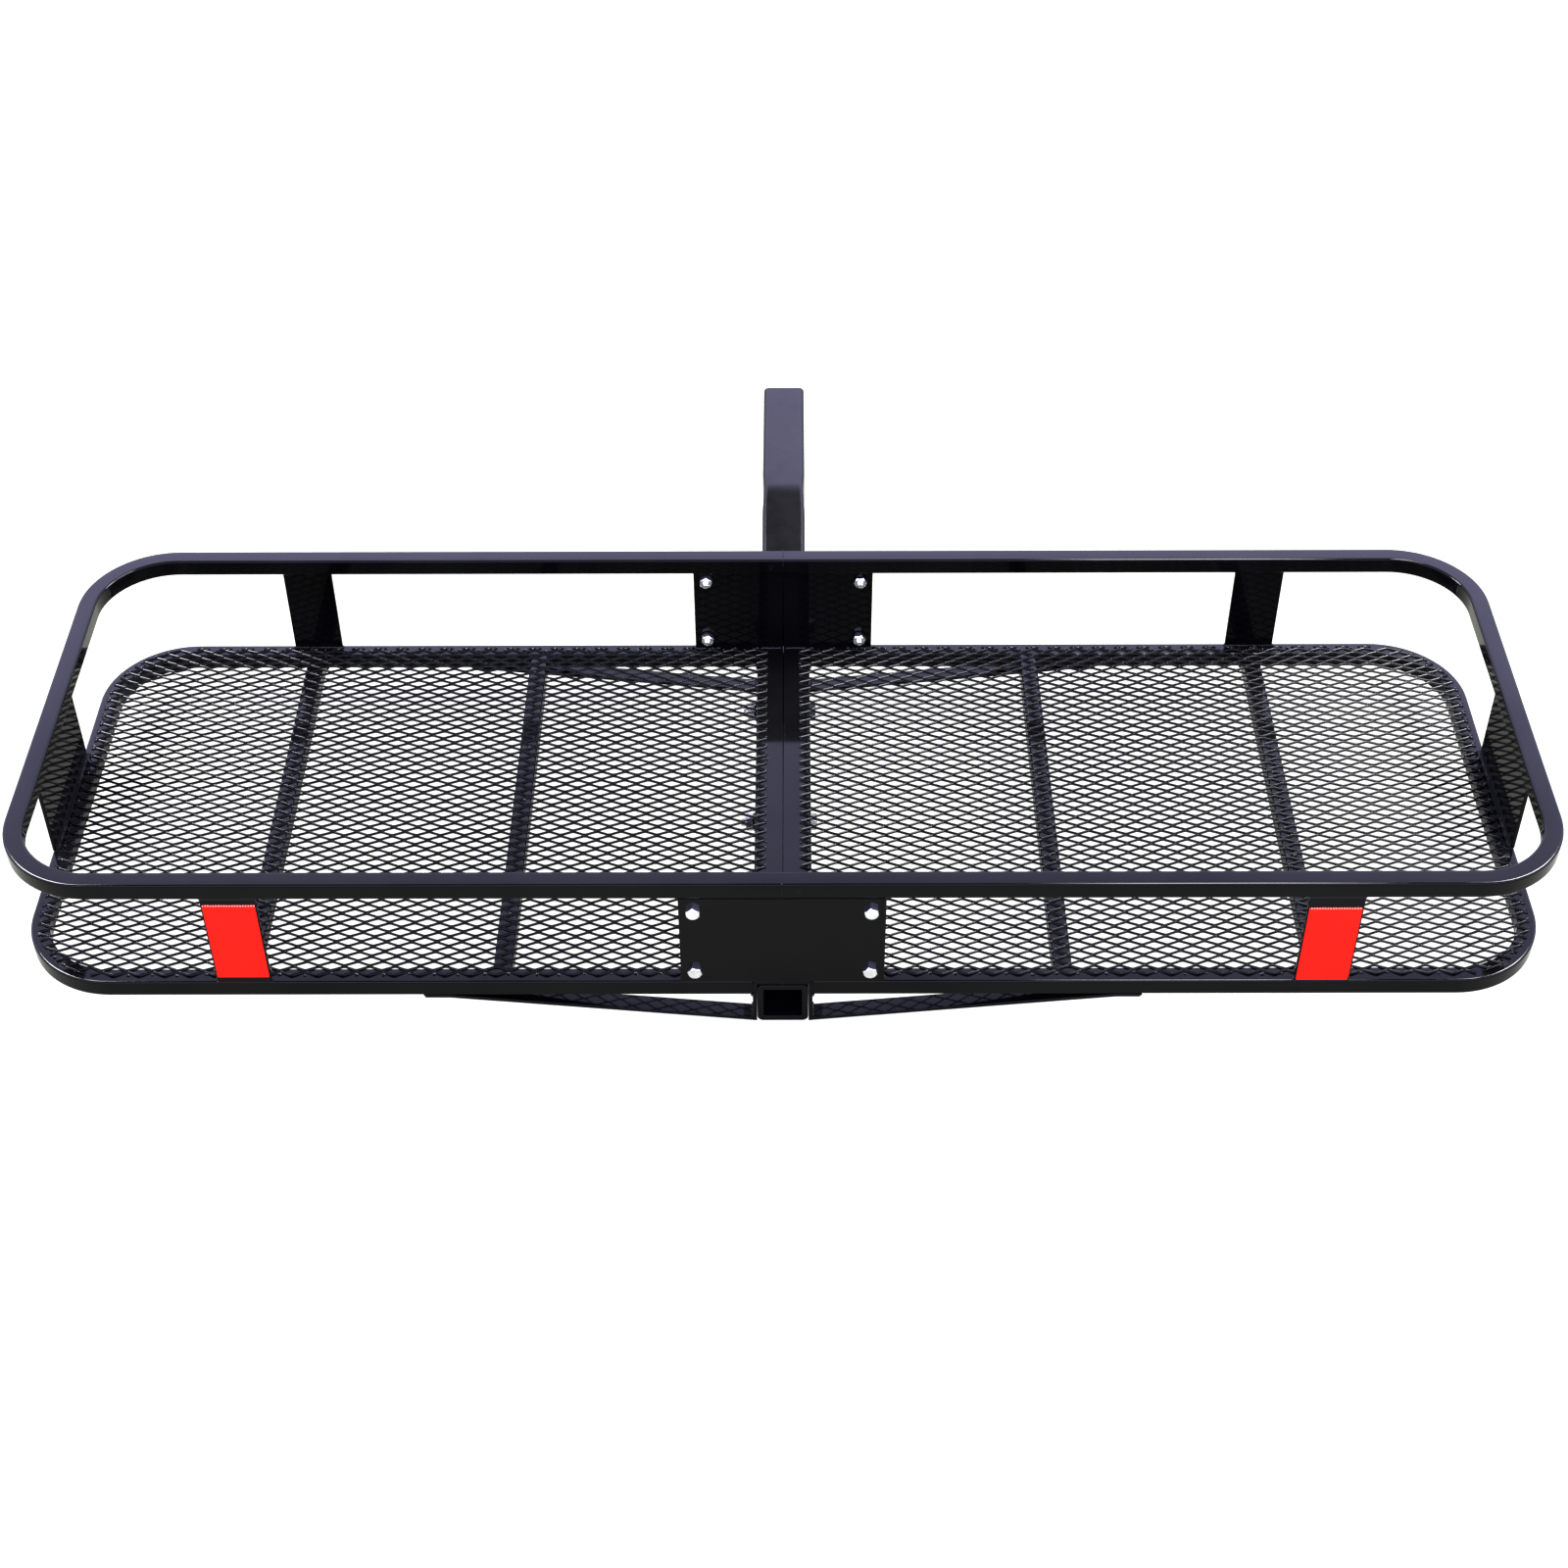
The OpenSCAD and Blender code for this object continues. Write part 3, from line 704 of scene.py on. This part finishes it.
def add_thread(bm, diameter, pitch, start_z, end_z):
    """Adds a helical ridge around a bolt's core, and the core with its chamfered tip."""
    turns = math.floor((end_z - start_z) / pitch) - 1
    core = diameter / 2 - THREAD_DEPTH_RATIO * pitch
    root = core - THREAD_ROOT_SINK
    face = add_disc(bm, 1, 3)
    corners = ((root, -0.5), (diameter / 2, 0), (root, 0.5))
    for vert, (radius, share) in zip(face.verts, corners):
        vert.co = (radius, 0, start_z + share * pitch)
    bmesh.ops.spin(
        bm, geom=[face, *face.edges, *face.verts], cent=(0, 0, 0), axis=(0, 0, 1),
        dvec=(0, 0, pitch / THREAD_STEPS), angle=math.radians(360) * turns,
        steps=THREAD_STEPS * turns, use_merge=False
    )
    blank = as_mesh(turned_blank(core, end_z - start_z + 2 * pitch, False), "core")
    add_copy(bm, blank, Matrix.Translation((0, 0, start_z - 2 * pitch)))


def bolt(diameter, pitch, flats, grip):
    """A hexagon bolt along +Z: the head under z = 0, a plain shank, and thread past the nut."""
    bm = hexagon(flats, diameter * HEAD_RATIO, False)
    bmesh.ops.transform(bm, matrix=turned(180, "X"), verts=bm.verts)
    thread_start = grip + diameter * WASHER_RATIO
    tip = thread_start + diameter * NUT_RATIO + THREAD_PAST_NUT
    plain = thread_start + pitch
    add_rod(bm, diameter / 2, plain, BOLT_STEPS, Matrix.Translation((0, 0, plain / 2)))
    add_thread(bm, diameter, pitch, thread_start + 2 * pitch, tip)
    outwards(bm)
    return bm


def nut(diameter, flats):
    """A hexagon nut along +Z from z = 0, chamfered at both ends, with its threaded hole."""
    height = diameter * NUT_RATIO
    drill = bmesh.new()
    add_rod(drill, diameter / 2, 3 * height, NUT_HOLE_STEPS, Matrix.Identity(4))
    return carved(hexagon(flats, height, True), drill, "DIFFERENCE")


def washer(diameter):
    """A flat washer along +Z from z = 0."""
    bm = bmesh.new()
    thickness = diameter * WASHER_RATIO
    hole = WASHER_HOLE_RATIO * diameter
    rounded_rectangle(bm, diameter - hole, thickness, WASHER_EDGE, 2)
    place = Matrix.Translation(((hole + diameter) / 2, 0, thickness / 2))
    bmesh.ops.transform(bm, matrix=place @ turned(90, "X"), verts=bm.verts)
    bmesh.ops.spin(
        bm, geom=[*bm.faces, *bm.edges, *bm.verts], cent=(0, 0, 0), axis=(0, 0, 1),
        angle=math.radians(360), steps=ROUND_STEPS, use_merge=True
    )
    inner_faces = [f for f in bm.faces if len(f.verts) > 4]
    bmesh.ops.delete(bm, geom=inner_faces, context="FACES")
    outwards(bm)
    return bm


def splice_places(out_y, turns):
    """Where the eight splice fasteners stand, each along its bolt from the head inwards, and
    that far out from the basket's middle line."""
    low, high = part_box("splice_bolts")
    bolt_x = high.x - corner_reach(SPLICE_FLATS)
    rise = (high.z - low.z) / 2 - SPLICE_FLATS / 2
    middle_z = (high.z + low.z) / 2
    places = []
    for number, turn in enumerate(turns):
        y_side = TAIL if number < 4 else CAR
        x = bolt_x * (RIGHT if number % 2 else LEFT)
        z = middle_z + rise * (-1 if number % 4 < 2 else 1)
        spot = Matrix.Translation((x, MIDDLE_Y + y_side * out_y, z))
        places.append(spot @ turned(90 * y_side, "X") @ turned(turn, "Z"))
    return places


def shank_places(start_x, turns):
    """Where the three shank fasteners stand, along each bolt from its head, on the right."""
    low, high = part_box("shank_bolts")
    outer_y = (high.y - low.y) / 2 - SHANK_FLATS / 2
    middle_z = (high.z + low.z) / 2
    places = []
    for along_y, turn in zip((-outer_y, 0, outer_y), turns):
        spot = Matrix.Translation((start_x, MIDDLE_Y + along_y, middle_z))
        places.append(spot @ turned(-90, "Y") @ turned(turn, "Z"))
    return places


def make_fasteners():
    tab_y = TAB_LOW.y - MIDDLE_Y
    splice_grip = HALF_WIDTH - tab_y
    splice_nut_y = tab_y - SPLICE_THREAD * WASHER_RATIO
    shank_nut_x = -SADDLE_FACE_X - SHANK_THREAD * WASHER_RATIO
    splice_bolt = bolt(SPLICE_THREAD, SPLICE_PITCH, SPLICE_FLATS, splice_grip)
    shank_bolt = bolt(SHANK_THREAD, SHANK_PITCH, SHANK_FLATS, 2 * SADDLE_FACE_X)
    for node, fastener, places, finish in (
        ("splice_bolts", splice_bolt, splice_places(HALF_WIDTH, HEAD_TURNS), ZINC),
        ("splice_washers", washer(SPLICE_THREAD), splice_places(tab_y, NO_TURNS), FRAME_PAINT),
        ("splice_nuts", nut(SPLICE_THREAD, SPLICE_FLATS), splice_places(splice_nut_y, NUT_TURNS), ZINC),
        ("shank_bolts", shank_bolt, shank_places(SADDLE_FACE_X, HEAD_TURNS), ZINC),
        ("shank_washers", washer(SHANK_THREAD), shank_places(-SADDLE_FACE_X, NO_TURNS), FRAME_PAINT),
        ("shank_nuts", nut(SHANK_THREAD, SHANK_FLATS), shank_places(shank_nut_x, NUT_TURNS), ZINC),
    ):
        keep(f"{node}_steel", copies(fastener, places), finish, [node])


# ---------------------------------------------------------------- reflective tape
def make_tapes():
    for side in ("left", "right"):
        node = f"tail_{side}_reflector"
        low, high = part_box(node)
        bm = bmesh.new()
        face = rounded_rectangle(bm, high.x - low.x, high.z - low.z, TAPE_CORNER, 4)
        back = Matrix.Translation(((low.x + high.x) / 2, high.y, (low.z + high.z) / 2))
        bmesh.ops.transform(bm, matrix=back @ turned(90, "X"), verts=bm.verts)
        front = push(bm, face, (0, low.y - high.y, 0))
        round_off(bm, list(front.edges), TAPE_EDGE, segments=2)
        outwards(bm)
        tape = reflective_tape(f"{side}_reflective_tape", high.z)
        keep(f"{node}_tape", bm, tape, [node])


# ---------------------------------------------------------------- welds
def weld_lump():
    """A lump of weld metal, one metre in radius, to be scaled down."""
    bm = bmesh.new()
    bmesh.ops.create_uvsphere(bm, u_segments=8, v_segments=5, radius=1)
    return as_mesh(bm, "weld_lump")


WELD_LUMP = weld_lump()


def blob(bm, spot, radius, squash):
    """A small lump of weld metal, flattened by squash, which is three shares."""
    size = Matrix.Diagonal((*(radius * Vector(squash)), 1))
    add_copy(bm, WELD_LUMP, Matrix.Translation(spot) @ size)


def bead(bm, start, end, radius=WELD_RADIUS):
    """A weld bead from start to end: overlapping ripples that wander and vary a little."""
    start, end = Vector(start), Vector(end)
    count = max(2, round((end - start).length / (BEAD_SPACING * radius)))
    for number in range(count + 1):
        spot = start.lerp(end, number / count)
        wander = Vector([random.uniform(-BEAD_WANDER, BEAD_WANDER) * radius for _ in range(3)])
        size = radius * random.uniform(1 - BEAD_WANDER, 1 + BEAD_WANDER)
        blob(bm, spot + wander, size, BEAD_SQUASH)


def stitches(bm, start, end, share):
    """Two beads, one at each end of a joint, that each cover that share of it."""
    start, end = Vector(start), Vector(end)
    bead(bm, start, start.lerp(end, share))
    bead(bm, end.lerp(start, share), end)


def make_side_welds():
    """Beads between the rails and the posts, end plates and splice tabs that stand on them."""
    bm = bmesh.new()
    post_inner = HALF_WIDTH - (POST_HIGH.y - POST_LOW.y)
    half_plate = (PLATE_HIGH.y - PLATE_LOW.y) / 2
    for z in (RAIL_TOP_Z, TOP_RAIL_UNDER_Z):
        for x_side in (LEFT, RIGHT):
            x = x_side * PLATE_LOW.x
            stitches(bm, (x, MIDDLE_Y - half_plate, z), (x, MIDDLE_Y + half_plate, z), PLATE_STITCH)
            for y_side in (TAIL, CAR):
                x = x_side * OUTER_BAR_X
                y = MIDDLE_Y + y_side * post_inner
                bead(bm, (x - HALF_POST, y, z), (x + HALF_POST, y, z))
                y = MIDDLE_Y + y_side * (TAB_LOW.y - MIDDLE_Y)
                stitches(bm, (x_side * 4 * MM, y, z), (x_side * TAB_HIGH.x, y, z), TAB_STITCH)
    keep("side_welds", bm, WELD_PAINT, [])


def make_post_foot_welds():
    """The thin seams outside, where the posts meet the rails flush."""
    bm = bmesh.new()
    for x_side in (LEFT, RIGHT):
        for y_side in (TAIL, CAR):
            x = x_side * OUTER_BAR_X
            y = MIDDLE_Y + y_side * (HALF_WIDTH - SEAM_WELD_INSET)
            for z in (RAIL_TOP_Z, TOP_RAIL_UNDER_Z):
                bead(bm, (x - HALF_POST, y, z), (x + HALF_POST, y, z), SEAM_WELD_RADIUS)
    keep("post_foot_welds", bm, WELD_PAINT, [])


def add_crossbar_welds(bm, node):
    """Three beads at each end of a cross bar: up its two sides and along its underside."""
    low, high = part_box(node)
    x = (low.x + high.x) / 2
    left_x, right_x = x - RAIL_SIDE / 2, x + RAIL_SIDE / 2
    for y_side in (TAIL, CAR):
        y = MIDDLE_Y + y_side * (HALF_WIDTH - RAIL_SIDE)
        for edge_x in (left_x, right_x):
            bead(bm, (edge_x, y, UNDERSIDE_Z + 1 * MM), (edge_x, y, RAIL_TOP_Z - 2 * MM))
        bead(bm, (left_x, y, UNDERSIDE_Z), (right_x, y, UNDERSIDE_Z))


def add_saddle_and_arm_welds(bm, x_side, y_side):
    """Beads at one rail's end on the saddle, and at both ends of the arm under that rail."""
    saddle_x = x_side * SADDLE_FACE_X
    tip_x = x_side * ARM_HIGH.x
    inner_y = MIDDLE_Y + y_side * (HALF_WIDTH - RAIL_SIDE)
    outer_y = MIDDLE_Y + y_side * HALF_WIDTH
    arm_y = MIDDLE_Y + y_side * (HALF_WIDTH - (ARM_HIGH.y - ARM_LOW.y))
    foot_y = outer_y - y_side * 2 * MM
    foot_z = ARM_LOW.z + (ARM_HIGH.z - ARM_LOW.z) * ARM_FOOT_SHARE
    bead(bm, (saddle_x, inner_y, UNDERSIDE_Z), (saddle_x, inner_y, RAIL_TOP_Z - 3 * MM))
    bead(bm, (saddle_x, inner_y, UNDERSIDE_Z), (saddle_x, outer_y, UNDERSIDE_Z))
    bead(bm, (tip_x, arm_y, UNDERSIDE_Z), (tip_x, outer_y, UNDERSIDE_Z), ARM_WELD_RADIUS)
    bead(bm, (saddle_x, arm_y, foot_z), (saddle_x, foot_y, foot_z), ARM_WELD_RADIUS)


def make_floor_welds():
    """Beads at the cross bars' ends, at the rails' ends on the saddle, and at the arms."""
    bm = bmesh.new()
    for node in CROSSBARS:
        add_crossbar_welds(bm, node)
    for x_side in (LEFT, RIGHT):
        for y_side in (TAIL, CAR):
            add_saddle_and_arm_welds(bm, x_side, y_side)
    keep("floor_welds", bm, WELD_PAINT, [])


def add_spot(bm, x, y):
    """A spot of weld on top of a bar, a little out of place and of its own size."""
    jitter = Vector((random.uniform(-3, 3) * MM, random.uniform(-1.5, 1.5) * MM, 0))
    spot = Vector((x, y, RAIL_TOP_Z + SPOT_RISE)) + jitter
    blob(bm, spot, random.uniform(1.0, 2.1) * MM, SPOT_SQUASH)


def make_mesh_weld_spots():
    """Spots of weld where the mesh lies on the rails, the cross bars and the saddle."""
    bm = bmesh.new()
    inset = HALF_LENGTH - PANEL_HIGH.x + SPOT_INSET
    reach = CORNER_RADIUS - inset
    for x_side in (LEFT, RIGHT):
        for number in range(round((BEND_X - SADDLE_FACE_X) / LONG_PITCH)):
            x = x_side * (SADDLE_FACE_X + (number + 0.5) * LONG_PITCH)
            for y_side in (TAIL, CAR):
                add_spot(bm, x, MIDDLE_Y + y_side * (HALF_WIDTH - inset))
        for number in range(-7, 8):
            add_spot(bm, x_side * (HALF_LENGTH - inset), MIDDLE_Y + number * END_SPOT_PITCH)
            add_spot(bm, x_side * (PANEL_LOW.x + SPOT_INSET), MIDDLE_Y + number * SADDLE_SPOT_PITCH)
        for y_side in (TAIL, CAR):
            for degrees in range(8, 90, 12):
                x = x_side * (BEND_X + reach * math.cos(math.radians(degrees)))
                y = MIDDLE_Y + y_side * (BEND_Y + reach * math.sin(math.radians(degrees)))
                add_spot(bm, x, y)
    for node in CROSSBARS:
        low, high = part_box(node)
        for number in range(-5, 6):
            add_spot(bm, (low.x + high.x) / 2, MIDDLE_Y + number * BAR_SPOT_PITCH)
    keep("mesh_weld_spots", bm, WELD_PAINT, [])


def make_vent_plugs():
    """Small plugged vent holes of the rail tubes: a shallow rim around a sunken middle."""
    plug = bmesh.new()
    face = add_disc(plug, PLUG_RADIUS, 20)
    for step_up, share in PLUG_STEPS:
        face = push(plug, face, (0, 0, step_up))
        resize(plug, face, share)
    outwards(plug)
    z = TOP_RAIL_UNDER_Z + PLUG_RISE
    places = [Matrix.Translation((x, y, z)) @ turned(90, "X") for x, y in PLUG_SPOTS]
    keep("vent_plugs", copies(plug, places), WELD_PAINT, [])


# ---------------------------------------------------------------- camera, floor and light
def make_camera():
    camera = bpy.data.objects.new("camera", bpy.data.cameras.new("camera"))
    bpy.context.scene.collection.objects.link(camera)
    camera.data.lens = CAMERA_LENS
    camera.data.sensor_width = CAMERA_SENSOR
    camera.data.clip_end = CAMERA_REACH
    stand = Matrix.Translation(Vector((0, MIDDLE_Y, UNDERSIDE_Z)) + CAMERA_STAND)
    look = turned(DEGREES_ASIDE, "Z") @ turned(90 - DEGREES_DOWN, "X") @ turned(DEGREES_ROLLED, "Z")
    camera.matrix_world = stand @ look
    bpy.context.scene.camera = camera


def fade(nodes, links, axis, middle, half):
    """Falls from 1 to 0 across one axis, SHADE_EDGE to each side of half a width from a middle."""
    place = nodes.new("ShaderNodeTexCoord")
    axes = nodes.new("ShaderNodeSeparateXYZ")
    links.new(place.outputs["Object"], axes.inputs["Vector"])
    away = maths(nodes, links, "SUBTRACT", axes.outputs[axis], middle)
    distance = maths(nodes, links, "ABSOLUTE", away, 0)
    ranged = nodes.new("ShaderNodeMapRange")
    ranged.interpolation_type = "SMOOTHSTEP"
    ranged.inputs["From Min"].default_value = half - SHADE_EDGE
    ranged.inputs["From Max"].default_value = half + SHADE_EDGE
    ranged.inputs["To Min"].default_value = 1
    ranged.inputs["To Max"].default_value = 0
    links.new(distance, ranged.inputs["Value"])
    return ranged.outputs["Result"]


def floor_glow_with_painted_shadow(nodes, links):
    """Glows white to the eye. Reflections see a dimmer glow, with a painted shadow that darkens it
    under the basket.
    """
    across = fade(nodes, links, "X", 0, HALF_LENGTH)
    along = fade(nodes, links, "Y", MIDDLE_Y, HALF_WIDTH)
    # Painted shadow: under the basket's footprint the glow that reflections see drops from OPEN_GLOW to
    # SHADE_DEPTH.
    under = combine(nodes, links, "MULTIPLY", across, along)
    painted_shadow_drop = maths(nodes, links, "MULTIPLY", under, SHADE_DEPTH - OPEN_GLOW)
    glow_with_painted_shadow = maths(nodes, links, "ADD", painted_shadow_drop, OPEN_GLOW)
    path = nodes.new("ShaderNodeLightPath")
    return combine(nodes, links, "MAXIMUM", path.outputs["Is Camera Ray"], glow_with_painted_shadow)


def make_floor():
    bm = bmesh.new()
    bmesh.ops.create_grid(bm, x_segments=1, y_segments=1, size=FLOOR_REACH)
    bmesh.ops.translate(bm, vec=(0, MIDDLE_Y, CAD_LOW.z), verts=bm.verts)
    mesh = as_mesh(bm, "floor")
    floor = bpy.data.objects.new("floor", mesh)
    bpy.context.scene.collection.objects.link(floor)
    material, nodes, links, shader = new_material("floor_paint")
    shader.inputs["Base Color"].default_value = (0.06, 0.06, 0.045, 1)
    shader.inputs["Roughness"].default_value = 0.9
    shader.inputs["Specular IOR Level"].default_value = 0.0
    shader.inputs["Emission Color"].default_value = (1, 1, 1, 1)
    # The floor's glow carries a painted shadow of the basket, which only reflections see.
    links.new(floor_glow_with_painted_shadow(nodes, links), shader.inputs["Emission Strength"])
    mesh.materials.append(material)


def make_sky():
    """A sky in bands, whose brightness depends on the height above the horizon."""
    world = bpy.data.worlds.new("studio")
    bpy.context.scene.world = world
    world.use_nodes = True
    nodes, links = world.node_tree.nodes, world.node_tree.links
    sky = nodes["Background"]
    sky.inputs["Color"].default_value = SKY_COLOUR
    place = nodes.new("ShaderNodeTexCoord")
    split = nodes.new("ShaderNodeSeparateXYZ")
    links.new(place.outputs["Generated"], split.inputs["Vector"])
    ramp = nodes.new("ShaderNodeValToRGB")
    while len(ramp.color_ramp.elements) < len(SKY_BANDS):
        ramp.color_ramp.elements.new(0.5)
    for element, (height, share) in zip(ramp.color_ramp.elements, SKY_BANDS):
        element.position = height
        element.color = (share, share, share, 1)
    links.new(split.outputs["Z"], ramp.inputs["Fac"])
    strength = maths(nodes, links, "MULTIPLY", ramp.outputs["Color"], SKY_STRENGTH)
    links.new(strength, sky.inputs["Strength"])


def make_softboxes():
    target = Vector((0, MIDDLE_Y, UNDERSIDE_Z))
    for name, offset, size, power in SOFTBOXES:
        lamp = bpy.data.lights.new(name, "AREA")
        lamp.shape = "RECTANGLE"
        lamp.size, lamp.size_y = size
        lamp.energy = power
        holder = bpy.data.objects.new(name, lamp)
        bpy.context.scene.collection.objects.link(holder)
        holder.location = target + Vector(offset)
        holder.rotation_mode = "QUATERNION"
        holder.rotation_quaternion = (target - holder.location).to_track_quat("-Z", "Y")


def set_display():
    view = bpy.context.scene.view_settings
    view.view_transform = "Standard"
    view.gamma = DISPLAY_GAMMA


make_camera()
make_floor()
make_sky()
make_softboxes()
set_display()
make_rails()
make_crossbars()
make_flat_steel()
make_mesh_panels()
make_shank()
make_fasteners()
make_tapes()
make_side_welds()
make_post_foot_welds()
make_floor_welds()
make_mesh_weld_spots()
make_vent_plugs()
